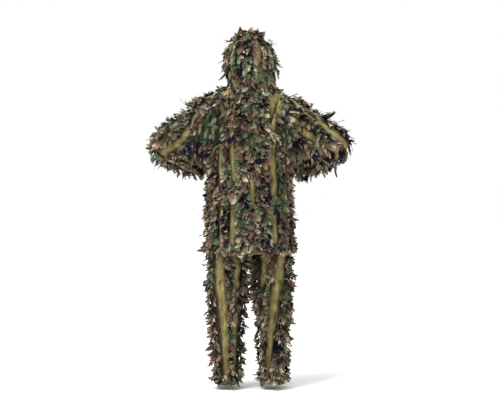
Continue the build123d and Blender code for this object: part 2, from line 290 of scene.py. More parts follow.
# u of each bare band at its two ends, and its width
WIDE_BAND = (-.101, -.098, .034)
TORSO_BANDS = (
    (-.252, -.252, .014), (-.175, -.172, .016), WIDE_BAND, (-.010, -.004, .025),
    (.066, .078, .025), (.126, .140, .027), (.195, .20, .014), (.252, .252, .016),
    (.335, .335, .016), (.418, .418, .016), (.500, .500, .016), (.582, .582, .016),
    (.665, .665, .016))
ARM_BANDS = {
    1: ((-.24, -.095, .032), (-.093, .19, .040), (.30, .325, .030), (.46, .47, .02),
        (.59, .60, .02), (.68, .72, .02)),
    -1: ((-.213, .034, .044), (.03, .175, .034), (.27, .31, .030), (.42, .44, .02),
         (.57, .58, .02), (.67, .78, .02)),
}


def arm_round(v):
    return TAU * glide(GIRTH, np.asarray(v, float) * SLEEVE).mean(-1)


def hood_round(v):
    h = HOOD[0][0] + np.asarray(v, float) * HOOD_SPAN
    return TAU * np.maximum(glide(HOOD, h)[..., 0] * 1.05, .02)


HOOD_BANDS = tuple((u, u, wide) for u, wide in (
    (-.45, .014), (-.34, .014), (-.235, .014), (-.155, .016), (-.06, .030), (.045, .012),
    (.14, .020), (.235, .014), (.34, .014), (.45, .014)))
LEG_BANDS = {
    1: ((-.035, .105, .050), (.27, .30, .028), (.47, .49, .028), (.665, .66, .028),
        (.92, .868, .040)),
    -1: ((-.150, .130, .050), (.18, .31, .028), (.42, .50, .028), (.65, .70, .028),
         (.83, .915, .040)),
}


def leg_round(v):
    return TAU * glide(LEG, LEG[0][0] + np.asarray(v, float) * LEG_SPAN)[..., 0]


def band_tone(bands, girth, drift=drifting):
    """Painted light on the mesh cloth: a painted highlight along the middle of each bare band, falling
    to painted shade at its edges and under the leaf strips.
    """
    def tone(u, v):
        shade = .4 + 0 * u
        for low, high, wide in bands:
            off = np.abs((u - drift(low, high)(v) + .5) % 1 - .5) * girth(v)
            shade = np.maximum(shade, 1.22 - .82 * step(.16 * wide, .50 * wide, off))
        return shade
    return tone


# ---------------------------------------------------------------- meshes
def keep_inside(p):
    """Pulls the tips of stray leaves back inside a margin round the CAD model's bounds."""
    lo, hi = np.array([list(corner) for corner in cad_box])
    room, soft = .03 * (hi - lo) + .008, .012
    over, under = np.maximum(p - (hi + room - soft), 0), np.maximum(lo - room + soft - p, 0)
    return p - over - soft * np.expm1(-over / soft) + under + soft * np.expm1(-under / soft)


def grid_quads(rows, cols):
    """Faces of a grid of points numbered row by row."""
    index = np.arange(rows * cols).reshape(rows, cols)
    corners = index[:-1, :-1], index[:-1, 1:], index[1:, 1:], index[1:, :-1]
    return np.stack(corners, -1).reshape(-1, 4)


def mesh_piece(name, verts, faces, uv=None, tone=None, material=None):
    """An object made of a mesh, with its cloth coordinates in metres and its tone: random tone together
    with painted light and shade.
    """
    mesh = bpy.data.meshes.new(name)
    mesh.from_pydata(np.asarray(verts, float).tolist(), [], [tuple(f) for f in faces])
    mesh.update()
    if uv is not None:
        layer = mesh.uv_layers.new(name="cloth")
        loop_verts = np.zeros(len(mesh.loops), np.int32)
        mesh.loops.foreach_get("vertex_index", loop_verts)
        layer.data.foreach_set("uv", np.asarray(uv, np.float32)[loop_verts].ravel())
    if tone is not None:
        mesh.attributes.new("tone", "FLOAT", "POINT").data.foreach_set(
            "value", np.asarray(tone, np.float32))
    mesh.polygons.foreach_set("use_smooth", np.ones(len(mesh.polygons), bool))
    if material:
        mesh.materials.append(material)
    piece = bpy.data.objects.new(name, mesh)
    bpy.context.scene.collection.objects.link(piece)
    return piece


def fasten(piece, hold, slot_name, *nodes):
    """Fastens the piece to the body that hold names, and hides the CAD nodes that it stands for.

    hold may instead be two bodies and two points; then the piece is left fixed where it stands.
    """
    if isinstance(hold, str):
        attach(piece, hold)
    else:
        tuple(hold[2])
        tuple(hold[3])
        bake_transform(piece)
    if nodes:
        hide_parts(*nodes)


# Patches over the shoulders where no leaves lie and the mesh shows: the two ends of each
# patch (x, height above the hem) and half its width.
PATCHES = (((-.118, 1.372), (-.162, 1.462), .028), ((-.165, 1.465), (-.270, 1.355), .016),
           ((-.270, 1.350), (-.350, 1.280), .010), ((.160, 1.455), (.100, 1.435), .015),
           ((.215, 1.425), (.165, 1.440), .008), ((.320, 1.345), (.290, 1.362), .010),
           ((-.240, 1.275), (-.300, 1.225), .009), ((-.075, 1.730), (-.080, 1.695), .012),
           ((-.040, 1.665), (-.046, 1.595), .012), ((-.100, 1.550), (-.122, 1.505), .012),
           ((.100, 1.540), (.116, 1.505), .010), ((.088, 1.690), (.078, 1.655), .009),
           ((-.110, 1.385), (-.113, 1.230), .012))


def patch_share(p):
    """1 along the middle of a bare patch, 0 from its edge outwards."""
    share = np.zeros(p.shape[:-1])
    x, h = p[..., 0], p[..., 2] + NECK
    for (x0, h0), (x1, h1), half in PATCHES:
        length = math.hypot(x1 - x0, h1 - h0)
        ax, ah = (x1 - x0) / length, (h1 - h0) / length
        along = (x - (x0 + x1) / 2) * ax + (h - (h0 + h1) / 2) * ah
        across = -(x - (x0 + x1) / 2) * ah + (h - (h0 + h1) / 2) * ax
        share = np.maximum(share, 1 - (along / (length / 2 + half)) ** 2 - (across / half) ** 2)
    return share * (p[..., 1] > -.02)


def painted_top_light(p):
    """Painted top light: the cloth is painted palest on shoulders and hood and darkest on the legs, by
    its height.
    """
    h = p[..., 2] + NECK
    return .92 + .04 * step(.60, .85, h) + .22 * step(1.22, 1.42, h)


def cloth_grid(surface, us, vs, keep=None, flip=False, tone=None):
    """Vertices, quads, cloth coordinates and painted light and shade of a stretch of a surface."""
    uu, vv = np.meshgrid(us, vs)
    tones = tone(uu, vv) if tone else 1 + 0 * uu
    p = surface(uu, vv, np.zeros_like(uu))
    # painted light: each bare patch is painted bright along its middle, falling to the painted shade
    # under the leaves at its edge; all of it times painted top light by height
    tones = np.maximum(tones, .4 + .85 * step(0, .45, patch_share(p))) * painted_top_light(p)
    across = np.linalg.norm(np.diff(p, axis=1), axis=2).mean(0)
    up = np.linalg.norm(np.diff(p, axis=0), axis=2).mean(1)
    uv = np.stack(np.meshgrid(np.append(0, across.cumsum()), np.append(0, up.cumsum())), -1)
    quads = grid_quads(*uu.shape)
    if flip:
        quads = quads[:, ::-1]
    points = p.reshape(-1, 3)
    if keep is not None:
        quads = quads[keep(points[quads].mean(1))]
    used, quads = np.unique(quads, return_inverse=True)
    return points[used], quads.reshape(-1, 4), uv.reshape(-1, 2)[used], tones.ravel()[used]


# ---------------------------------------------------------------- leaves
# Each leaf outline: half-width at eleven stations from root to tip, how far the lobes lean
# towards the tip, and how far each of the five columns of points reaches.
WHOLE = (1, 1, 1, 1, 1)
OUTLINES = (
    ((.34, .60, .44, .88, .62, 1.0, .66, .88, .50, .54, .10), .05, WHOLE),
    ((.26, .40, .96, .58, .44, .86, .40, .36, .28, .18, .04), .12, WHOLE),
    ((.36, .64, .86, .97, 1.0, .96, .88, .76, .58, .36, .08), .0, WHOLE),
    ((.24, .34, .44, .52, .60, .68, .76, .84, .92, 1.0, 1.06), .0, (.82, .48, 1.0, .55, .90)),
    ((.18, .24, .29, .33, .36, .36, .33, .28, .21, .13, .03), .0, WHOLE),
    ((.22, .74, .28, .96, .30, 1.0, .30, .82, .26, .42, .05), .10, WHOLE),
    ((.30, .46, .58, .66, .70, .72, .74, .76, .78, .80, .80), .0, (.95, 1.0, .55, .92, .80)),
)
BROAD = (.30, .13, .17, .13, .04, .14, .09)
MIXED = (.20, .14, .14, .18, .07, .16, .11)
SPIKY = (.10, .18, .03, .30, .11, .20, .08)
COLUMNS = np.array((-1, -.5, 0, .5, 1.0))
STATIONS = np.linspace(0, 1, 11)
LEAF_POINTS = len(STATIONS) * len(COLUMNS)
LEAF_QUADS = grid_quads(len(STATIONS), len(COLUMNS))


def everywhere(points):
    return np.ones(len(points), bool)


class Foliage:
    """Collects ribbons and leaves and turns them into one mesh."""

    def __init__(self, seed, kinds, size, lift=None, tip_droop=.2, patches=False, curl=1.0):
        """kinds: share of each outline. size: times the usual. lift: degrees off the cloth in a
        strip, from and to. patches: whether the leaves keep off the bare patches."""
        self.rng = np.random.default_rng(seed)
        self.kinds, self.size, self.lift = kinds, size, lift
        self.tip_droop, self.patches, self.curl = tip_droop, patches, curl
        self.verts, self.quads, self.uv, self.tone, self.count = [], [], [], [], 0

    def add(self, verts, quads, uv, tone):
        self.verts.append(verts.reshape(-1, 3))
        self.quads.append(quads + self.count)
        self.uv.append(uv.reshape(-1, 2))
        self.tone.append(tone.ravel())
        self.count += verts.size // 3

    def leaves(self, p, way, out, length, width, lift, cloth, across_cloth):
        """Leaves growing from points p along way. cloth and across_cloth place them on the print."""
        if self.patches:
            reach = length[:, None] * way
            off = np.maximum(patch_share(p + .5 * reach), patch_share(p + .8 * reach)) < .05
            p, way, out, length, width, lift, cloth, across_cloth = (
                q[off] for q in (p, way, out, length, width, lift, cloth, across_cloth))
        n, rng = len(p), self.rng
        each = (n, 1, 1)          # one draw a leaf, for arrays of leaves x stations x columns
        kind = rng.choice(len(OUTLINES), n, p=self.kinds)
        half, lean, ends = (np.array(part)[kind] for part in zip(*OUTLINES))
        half = (half * rng.uniform(.85, 1.15, (n, len(STATIONS))))[:, :, None]
        lean, ends = lean[:, None, None], ends[:, None, :]
        long, wide = length[:, None, None], width[:, None, None]
        way = unit(way - np.sum(way * out, -1, keepdims=True) * out)
        side = np.cross(out, way)
        lower = -np.sign(side[:, 2:3] + 1e-6)[:, :, None]
        c = COLUMNS[None, None, :] + 0 * half
        t = STATIONS[None, :, None] * ends + lean * c * c
        uneven = rng.uniform(.8, 1.2, each)
        x = half * np.where(c < 0, uneven, 2 - uneven) * c * wide / 2
        curl = self.curl * rng.normal(0, .85, each)
        angle = lift[:, None, None] + curl * t / 2
        along = long * t * np.cos(angle)
        roll, cup = rng.normal(.42, .25, each), rng.normal(.05, .55, each)
        wave = np.sin(6 * t + TAU * rng.random(each) + 2 * c) * rng.uniform(.02, .09, each)
        reach = x / (wide / 2)
        height = (long * t * np.sin(angle) + roll * lower * x
                  + wide * (cup * reach ** 2 / 2 + wave * (t + .3)))
        height = .5 * (height + np.sqrt(height ** 2 + .006 ** 2))    # never under the ground cloth
        verts = (p[:, None, None, :] + along[..., None] * way[:, None, None, :]
                 + x[..., None] * side[:, None, None, :] + height[..., None] * out[:, None, None, :])
        droop = self.tip_droop * rng.uniform(.3, 1.6, each) * long * t * t
        verts = verts - droop[..., None] * UP
        flat = across_cloth[:, None, None] * long * t
        uv = np.stack((cloth[:, 0, None, None] + flat, cloth[:, 1, None, None] + x), -1)
        # painted shade: each leaf is darker towards its root, where it lies under its neighbours; the
        # random factor is the leaf's own tone
        shaded_root = .16 + .84 * np.clip(t * 1.25, 0, 1)
        tone = rng.uniform(.52, 1.24, each) * shaded_root + 0 * x
        quads = (LEAF_QUADS[None] + LEAF_POINTS * np.arange(n)[:, None, None]).reshape(-1, 4)
        self.add(verts, quads, uv, tone)

    def scatter(self, surface, us, vs, turn, long, wide, lift, toward=0):
        """Single leaves at (us, vs), pointing down (toward 0) or along v (toward +1 or -1).

        turn is each leaf's turn in radians, or one spread to draw them all from.
        """
        n = len(us)
        turn = self.rng.normal(0, turn, n) if np.ndim(turn) == 0 else turn
        p, du, dv, out = frames(surface, us, vs + 0 * us)
        if toward:
            ahead = toward * dv
        else:
            ahead = -UP + np.sum(out * UP, -1, keepdims=True) * out - .25 * dv
        turn = turn[:, None]
        way = np.sin(turn) * du + np.cos(turn) * unit(ahead)
        p = p + out * self.rng.uniform(.003, .009, n)[:, None]
        cloth = self.rng.uniform(0, 40, (n, 2))
        self.leaves(p, way, out, np.full(n, long) * self.rng.uniform(.75, 1.25, n),
                    np.full(n, wide) * self.rng.uniform(.75, 1.25, n),
                    np.radians(self.rng.uniform(*lift, n)), cloth, np.ones(n))

    def strip(self, surface, centre, width, v0, v1, around, clear=everywhere, rows=(.017, .022),
              hang=0.0, seams=True):
        """One leaf strip: a gathered ribbon sewn down its middle, with leaves cut out to both sides.

        centre(v) is its u, width(v) its width in metres and around(v) the surface's girth. clear
        says where it may lie. rows are the metres between leaves along the edges and the middle.
        """
        rng = self.rng
        base = rng.uniform(0, 40, 2)
        down = np.sign(v1 - v0)
        fine = np.linspace(v0, v1, 80)
        way = surface(centre(fine), fine, 0 * fine)
        run = np.append(0, np.linalg.norm(np.diff(way, axis=0), axis=1).cumsum())
        length = run[-1]

        def v_at(metres):
            return np.interp(metres, run, fine)

        at = np.linspace(0, length, max(int(length / .008), 4))[:, None]
        v = v_at(at)
        c = np.linspace(-1, 1, 7)[None, :]
        w = width(v) * .84 * (1 + .14 * np.sin(at / .019 + 2 * c + 6 * rng.random()))
        wave = np.sin(at / .0065 + 1.5 * np.sin(2.1 * c + 9 * v) + 7 * rng.random())
        lift = .0035 + .0035 * (1 + wave) * (.35 + .65 * np.abs(c))
        u = centre(v)
        # The ribbon is painted dark (.18), as painted shade under its leaves; the raised folds along
        # its edges are painted dark (.24), partly a dark seam and partly painted shadow.
        ribbons = [(u + c * w / 2 / around(v), lift + 0 * v, c * w / 2 + 0 * v, .18)]
        for edge in (-1, 1) if seams else ():
            cc = np.linspace(-1, 1, 4)[None, :]
            ribbons.append((u + (edge * (width(v) / 2 - .003) + cc * .0028) / around(v),
                            .0012 + .0024 * (1 - cc * cc) + 0 * v, cc * .0028 + 0 * v, .24))
        for uu, lift, x, tone in ribbons:
            p = surface(uu, v + 0 * uu, lift)
            quads = grid_quads(*p.shape[:2])
            middle = p.reshape(-1, 3)[quads].mean(1)
            shown = clear(middle)
            if self.patches:
                shown = shown & (patch_share(middle) <= 0)
            cloth = np.stack((base[0] + x, base[1] - at + 0 * x), -1)
            self.add(p, quads[shown], cloth, np.full(p.shape[:2], tone))
        crowd = max(float(width(fine).mean()) / .068, .4)
        for way_out, spacing in ((-1, rows[0]), (1, rows[0]), (0, rows[1] / crowd / 2)):
            n = max(int(length / spacing), 1)
            at = length * np.clip((np.arange(n) + .5 + rng.uniform(-.35, .35, n)) / n, 0, 1)
            vs = v_at(at)
            w = width(vs)
            long = self.size * rng.uniform(.032, .054, n)
            if way_out:
                sideways = rng.normal(.40 + hang, .34, n)
                long = np.minimum(long, np.maximum(w, .024)) + .022 * hang
                offset = way_out * (w / 2 * rng.uniform(.88, 1.12, n) + .004 - long * np.cos(sideways))
            else:
                long = long * .82
                offset = rng.uniform(-.9, .9, n) * np.maximum(w / 2 - .010, .002)
            us = centre(vs) + offset / around(vs)
            p, du, dv, out = frames(surface, us, vs)
            ok = clear(p)
            at, long, offset, p, du, dv, out = (q[ok] for q in (at, long, offset, p, du, dv, out))
            n = len(p)
            if n == 0:
                continue
            fall = unit(-UP + np.sum(out * UP, -1, keepdims=True) * out + .35 * down * dv)
            if way_out:
                turn = sideways[ok][:, None]
                way = way_out * np.cos(turn) * du + np.sin(turn) * fall
                low, high = self.lift
            else:
                turn = rng.normal(0, .75, n)[:, None]
                way = np.sin(turn) * du + np.cos(turn) * fall
                low, high = self.lift[0] + 8, self.lift[1] + 14
            wide = self.size * rng.uniform(.026, .044, n)
            lift = np.radians(rng.uniform(low, high, n))
            p = p + out * rng.uniform(.003, .010, n)[:, None]
            cloth = np.stack((base[0] + offset, base[1] - at), -1) + rng.normal(0, .009, (n, 2))
            self.leaves(p, way, out, long, wide, lift, cloth, np.full(n, way_out or 1.0))

    def finish(self, name, hold, *nodes):
        """Makes the leaves one mesh and fastens it."""
        verts, quads = np.concatenate(self.verts), np.concatenate(self.quads)
        used, flat = np.unique(quads, return_inverse=True)
        # painted top light on the leaves by their height
        uv, tone = np.concatenate(self.uv)[used], np.concatenate(self.tone) * painted_top_light(verts)
        piece = mesh_piece(name, keep_inside(verts[used]), flat.reshape(-1, 4), uv, tone[used],
                           LEAF_CLOTH)
        fasten(piece, hold, LEAVES, *nodes)


# ---------------------------------------------------------------- materials
def srgb(r, g, b):
    def lin(c):
        c /= 255
        return c / 12.92 if c <= .04045 else ((c + .055) / 1.055) ** 2.4
    return (lin(r), lin(g), lin(b), 1)


def grey(value):
    return (value, value, value, 1)


def scaled(colour, factor, more=0.0):
    return tuple(min(c * factor + more, 1) for c in colour[:3]) + (1,)


class Nodes:
    """A small wrapper that makes shader nodes and links them."""

    def __init__(self, name):
        self.material = bpy.data.materials.new(name)
        self.material.use_nodes = True
        self.tree = self.material.node_tree
        self.shader = self.tree.nodes["Principled BSDF"]

    def put(self, socket, value):
        """Links an output to a socket, or sets the socket to a constant."""
        if isinstance(value, bpy.types.NodeSocket):
            self.tree.links.new(value, socket)
        else:
            socket.default_value = value

    def add(self, kind, inputs=(), out=0, **settings):
        node = self.tree.nodes.new("ShaderNode" + kind)
        for key, value in settings.items():
            setattr(node, key, value)
        for key, value in dict(inputs).items():
            self.put(node.inputs[key], value)
        return node.outputs[out]

    def math(self, operation, a, b=0.0):
        return self.add("Math", {0: a, 1: b}, operation=operation)

    def mix(self, factor, a, b, blend="MIX"):
        node = self.tree.nodes.new("ShaderNodeMix")
        node.data_type, node.blend_type = "RGBA", blend
        for k, value in ((0, factor), (6, a), (7, b)):
            self.put(node.inputs[k], value)
        return node.outputs[2]

    def ramp(self, factor, *stops):
        """A colour ramp through stops (position, colour or grey level)."""
        stops = [(at, grey(c) if isinstance(c, (int, float)) else c) for at, c in stops]
        node = self.tree.nodes.new("ShaderNodeValToRGB")
        ramp = node.color_ramp
        ramp.elements[0].position, ramp.elements[0].color = stops[0]
        ramp.elements[1].position, ramp.elements[1].color = stops[-1]
        for position, colour in stops[1:-1]:
            ramp.elements.new(position).color = colour
        self.tree.links.new(factor, node.inputs[0])
        return node.outputs[0]

    def noise(self, vector, scale, detail=2.0, rough=.5, distortion=0.0, out=0):
        return self.add("TexNoise", {"Vector": vector, "Scale": scale, "Detail": detail,
                                     "Roughness": rough, "Distortion": distortion}, out)

    def shifted(self, vector, offset, scale=(1, 1, 1)):
        return self.add("Mapping", {"Vector": vector, "Location": offset, "Scale": scale})

    def bump(self, height, strength, distance, normal=None):
        inputs = {"Height": height, "Strength": strength, "Distance": distance}
        if normal is not None:
            inputs["Normal"] = normal
        return self.add("Bump", inputs)

    def toned(self, colour):
        """The colour times the mesh's tone: random tone together with painted light and shade."""
        tone = self.add("Attribute", attribute_name="tone", out=2)
        factor = self.add("CombineColor", {0: tone, 1: tone, 2: tone})
        return self.mix(1.0, colour, factor, "MULTIPLY")

    def weave(self, cloth, pitch):
        """Height of a plain weave whose threads are pitch metres apart."""
        xyz = self.add("SeparateXYZ", {0: cloth}).node.outputs
        threads = [self.math("SINE", self.math("MULTIPLY", xyz[k], TAU / pitch)) for k in (0, 1)]
        return self.math("MULTIPLY", *threads)

    def set(self, **values):
        for key, value in values.items():
            self.put(self.shader.inputs[key.replace("_", " ")], value)
        return self.material


GREEN, BROWN = srgb(97, 110, 84), srgb(130, 104, 88)
TAN, BLACK = srgb(184, 168, 143), srgb(22, 21, 40)
OLIVE = srgb(118, 108, 68)


def camo_cloth(name):
    """Printed woodland cloth, cut into leaves: four colours in large blots, worn and dusty."""
    n = Nodes(name)
    uv = n.add("UVMap", uv_map="cloth")
    wobble = n.noise(uv, 9, 3, .6, out=1)
    moved = n.mix(.035, uv, wobble, "ADD")
    soft = .012

    def blot(offset, scale, edge):
        height = n.noise(n.shifted(moved, offset), scale, 2.5, .5, .25)
        return n.ramp(height, (edge - soft, 0), (edge + soft, 1))

    dust = n.noise(uv, 60, 4, .65)
    colour = n.mix(blot((3.1, 1.7, 0), 15, .505), GREEN, BROWN)
    colour = n.mix(blot((7.9, 4.2, 0), 18, .585), colour, TAN)
    colour = n.mix(blot((1.4, 9.6, 0), 19, .575), colour, BLACK)
    dusty = n.ramp(dust, (.3, srgb(60, 52, 38)), (.72, srgb(196, 182, 150)))
    # times the tone attribute: each leaf's own random tone, painted shade at its root and on the
    # ribbons, and painted top light by height
    colour = n.toned(n.mix(.22, colour, dusty, "OVERLAY"))
    threads = n.weave(uv, .0016)
    crease = n.noise(uv, 48, 5, .6, 1.2)
    bump = n.bump(threads, .35, .0004, n.bump(crease, .55, .0035))
    rough = n.ramp(dust, (.2, .78), (.8, .96))
    return n.set(Base_Color=colour, Roughness=rough, Normal=bump, Specular_IOR_Level=.08,
                 Sheen_Weight=.03, Sheen_Roughness=.5)


def mesh_cloth(name, base, pitch):
    """Knitted mesh ground cloth: open cells, paler patches and darker streaks at random, and painted
    shade down the creases of its folds.
    """
    n = Nodes(name)
    uv = n.add("UVMap", uv_map="cloth")
    cells = n.weave(uv, pitch)
    patch = n.noise(uv, 16, 4, .6)
    streak = n.noise(n.shifted(uv, (0, 0, 0), (55, 6, 1)), 1, 3, .6)
    light, deep = scaled(base, 1.75), scaled(base, .55)
    colour = n.mix(n.ramp(patch, (.40, 0), (.68, 1)), base, light)
    colour = n.mix(n.ramp(streak, (.46, 0), (.66, .75)), colour, deep)
    # times the tone attribute: painted highlight along the bands and patches, painted shade under the
    # leaves, painted top light by height
    colour = n.toned(n.mix(n.ramp(cells, (0, 0), (.9, .6)), colour, deep))
    crease = n.noise(n.shifted(uv, (2, 5, 0), (21, 8, 1)), 1, 2.6, .55, 1.3)
    # painted shade: darker down the creases of the folds
    colour = n.mix(1.0, colour, n.ramp(crease, (.36, .50), (.50, .92), (.66, 1)), "MULTIPLY")
    bump = n.bump(cells, .5, .0005, n.bump(crease, 1.0, .022))
    rough = n.ramp(patch, (.2, .72), (.8, .92))
    return n.set(Base_Color=colour, Roughness=rough, Normal=bump, Specular_IOR_Level=.12,
                 Sheen_Weight=.06, Sheen_Roughness=.4)


LEAF_CLOTH = camo_cloth(LEAVES)
GROUND_CLOTH = mesh_cloth(MESH, OLIVE, .0022)


# ---------------------------------------------------------------- ground cloth
def grid_range(a, b, step_size):
    return np.linspace(a, b, max(int(round(abs(b - a) / step_size)), 2) + 1)


def ground(name, surface, us, vs, hold, node, tone, keep=None, flip=False):
    """A stretch of mesh ground cloth."""
    piece = mesh_piece(name, *cloth_grid(surface, us, vs, keep, flip, tone), GROUND_CLOTH)
    fasten(piece, hold, MESH, node)


def leg_v(h):
    return (h - LEG[0][0]) / LEG_SPAN


ARM_SPLIT = .225 / SLEEVE         # v where the cloth of the shoulder ends and the elbow's begins
LEG_SPLIT = .52                   # height where the thigh's cloth ends and the shin's begins


def shoulder_bend(side, word):
    return "jacket", f"{word}_upper_sleeve", (side * .188, 0, 0), (side * .300, 0, 0)


def elbow_bend(side, word):
    mirror, reach = np.array((side, 1, 1)), .12
    before, after = (ELBOW - reach * ALONG) * mirror, (ELBOW + reach * FORE) * mirror
    return f"{word}_upper_sleeve", f"{word}_forearm_sleeve", tuple(before), tuple(after)


def hip_bend(word):
    return "trousers", f"{word}_thigh", (0, 0, .725 - NECK), (0, 0, .600 - NECK)


def knee_bend(word):
    return f"{word}_thigh", f"{word}_shin", (0, 0, .500 - NECK), (0, 0, .360 - NECK)


HOOD_BEND = ("jacket", "hood", (0, 0, 1.466 - NECK), (0, 0, 1.502 - NECK))


def inside_sleeve(p, margin):
    """Whether points lie inside either sleeve's root."""
    q = p.copy()
    q[:, 0] = np.abs(q[:, 0])
    s = (q - ROOT) @ ALONG
    girth = glide(GIRTH, np.clip(s, 0, .3))
    off = q - ROOT - s[:, None] * ALONG
    outside = unit(np.cross(ALONG, HINGE))
    across, along = girth[:, 0] - margin, girth[:, 1] - margin
    reach = (off @ outside / across) ** 2 + (off @ HINGE / along) ** 2
    return (s > -.002) & (s < .3) & (reach < 1)


def off_sleeve(p):
    return ~inside_sleeve(p, .002)


def inside_torso(p, margin):
    """Whether points lie inside the jacket's body."""
    h = p[:, 2] + NECK
    ring = glide(TORSO, np.clip(h, TORSO[0][0], TORSO[-1][0]))
    middle, deep = (ring[:, 1] + ring[:, 2]) / 2, (ring[:, 1] - ring[:, 2]) / 2
    reach = (p[:, 0] / (ring[:, 0] - margin)) ** 2 + ((p[:, 1] - middle) / (deep - margin)) ** 2
    return (reach < 1) & (h > TORSO[0][0]) & (h < TORSO[-1][0])


def jacket_cloth(name, u0, u1, node, flip=False):
    ground(name, torso, grid_range(u0, u1, .0065), grid_range(0, 1, .010), "jacket", node,
           band_tone(TORSO_BANDS, torso_round), lambda c: ~inside_sleeve(c, .012), flip)


ZIP_EDGE = .4939                  # u of each front's edge at the zip
jacket_cloth("jacket_back_cloth", -.25, .25, "jacket_back_panel")
for side, word in SIDES:
    jacket_cloth(f"{word}_front_cloth", side * .25, side * ZIP_EDGE, f"{word}_jacket_front_panel",
                 side < 0)

for side, word in SIDES:
    arm, us = sleeve(side), grid_range(0, 1, .0125)
    arm_tone = band_tone(ARM_BANDS[side], arm_round, settling)
    ground(f"{word}_shoulder_cloth", arm, us, grid_range(0, ARM_SPLIT, .014),
           shoulder_bend(side, word), f"{word}_upper_sleeve_panel", arm_tone,
           lambda c: ~inside_torso(c, .008), side > 0)
    ground(f"{word}_elbow_cloth", arm, us, grid_range(ARM_SPLIT, 1, .014), elbow_bend(side, word),
           f"{word}_forearm_sleeve_panel", arm_tone, flip=side > 0)

# Height of the middle of the face opening, and its half-width and half-height
FACE_H, FACE_W, FACE_TALL = 1.612, .0765, .0865


def face_edge(verts):
    """Moves the vertices just inside the face opening out to its edge."""
    x, z = verts[:, 0], verts[:, 2] + NECK - FACE_H
    reach = np.sqrt((x / FACE_W) ** 2 + (z / FACE_TALL) ** 2)
    near = (verts[:, 1] < 0) & (reach < 1) & (reach > .3)
    grow = np.where(near, 1 / np.maximum(reach, .3), 1)
    moved = verts.copy()
    moved[:, 0] = x * grow
    moved[:, 2] = z * grow - NECK + FACE_H
    return moved


def outside_face(c):
    z = c[:, 2] + NECK - FACE_H
    return ~((c[:, 1] < 0) & ((c[:, 0] / FACE_W) ** 2 + (z / FACE_TALL) ** 2 < .93))


def off_legs(c):
    """Whether points of the seat lie clear of the legs' tops."""
    return (((np.abs(c[:, 0]) - LEG_X) ** 2 + c[:, 1] ** 2 > .070 ** 2) | (c[:, 2] + NECK > .70))


for side, word in SIDES:
    verts, quads, uv, tone = cloth_grid(hood, grid_range(0, side * .5, .012), grid_range(0, 1, .028),
                                        outside_face, side < 0, band_tone(HOOD_BANDS, hood_round))
    piece = mesh_piece(f"{word}_hood_cloth", face_edge(verts), quads, uv, tone, GROUND_CLOTH)
    fasten(piece, HOOD_BEND, MESH, f"{word}_hood_panel")

grid = cloth_grid(seat, grid_range(0, 1, .014), grid_range(0, 1, .03), off_legs)
piece = mesh_piece("trouser_seat_cloth", *grid, GROUND_CLOTH)
fasten(piece, "trousers", MESH, "left_trouser_seat_panel", "right_trouser_seat_panel")

for side, word in SIDES:
    limb, us = leg(side), grid_range(0, 1, .0125)
    leg_tone = band_tone(LEG_BANDS[side], leg_round)
    ground(f"{word}_thigh_cloth", limb, us, grid_range(leg_v(LEG_SPLIT), 1, .011), hip_bend(word),
           f"{word}_thigh_panel", leg_tone, flip=side < 0)
    ground(f"{word}_shin_cloth", limb, us, grid_range(0, leg_v(LEG_SPLIT), .011), knee_bend(word),
           f"{word}_shin_panel", leg_tone, flip=side < 0)


# ---------------------------------------------------------------- leaf strips
def torso_leaves(name, first, last, node, seed, hem):
    """The strips first to last round the jacket, and the leaves of its hem and neck."""
    foliage = Foliage(seed, BROAD, .86, (8, 30), .2, patches=True)
    rng = foliage.rng
    strips = list(strips_between(TORSO_BANDS, torso_round, .022))
    for centre, width in strips[first:last]:
        foliage.strip(torso, centre, width, .985, .045, torso_round, off_sleeve, (.0122, .030))
    for band in TORSO_BANDS[first:last]:
        # leaves fall over each bare band in places, least over the widest one
        over_top, sparse = (0, .80) if band == WIDE_BAND else (2.2, .25)
        vs = rng.uniform(.05, .97, 76)
        patchy = (np.sin(TAU * (2.3 * vs + rng.random()))
                  + .6 * np.sin(TAU * (5.1 * vs + rng.random())))
        vs = vs[patchy + over_top * step(.60, .80, vs) > sparse]
        us = drifting(*band[:2])(vs) + rng.uniform(-.012, .004, len(vs))
        ok = off_sleeve(torso(us, vs, 0 * us))
        foliage.scatter(torso, us[ok], vs[ok], 1.1, .044, .036, (8, 30))
    us = np.arange(*hem, .0150)
    for v, size, turn in ((.058, .046, .3), (.038, .052, 1.45), (.016, .056, 1.50)):
        at = us + rng.uniform(-.006, .006, len(us))
        way = turn * rng.choice((-1, 1), len(us)) + rng.normal(0, .16, len(us))
        foliage.scatter(torso, at, v, way, size, .027 if turn > 1 else .036, (2, 16))
    us = np.arange(*hem, .022)
    foliage.scatter(torso, us, rng.uniform(.925, .970, len(us)), .6, .046, .034, (28, 58))
    foliage.finish(name, "jacket", node)


torso_leaves("jacket_back_leaves", 0, 7, "jacket_back_leaf_strips", 11, (-.248, .25))
torso_leaves("left_front_leaves", 7, 10, "left_front_leaf_strips", 12, (.252, .475))
torso_leaves("right_front_leaves", 10, 13, "right_front_leaf_strips", 13, (.525, .75))


def cover(foliage, surface, centre, low, high, count):
    """Leaves that fall across a bare band of mesh between v low and high."""
    rng = foliage.rng
    vs = rng.uniform(low, high, count)
    foliage.scatter(surface, centre(vs) + rng.uniform(-.02, .02, count), vs, 1.1, .044, .034, (8, 34))


# Where leaves fall across a limb's bands: which band, from and to in metres along the sleeve or
# above the trouser hem, and how many leaves
ARM_COVER = {
    1: ((0, .05, .17, 12), (1, .04, .17, 22), (2, .05, .12, 8), (0, .32, .40, 6),
        (1, .36, .46, 14)),
    -1: ((1, .04, .16, 16), (1, .235, .29, 10), (2, .10, .20, 10)),
}
LEG_COVER = {1: ((4, .37, .48, 26), (1, .10, .68, 60)), -1: ((4, .34, .50, 32), (1, .10, .68, 60))}


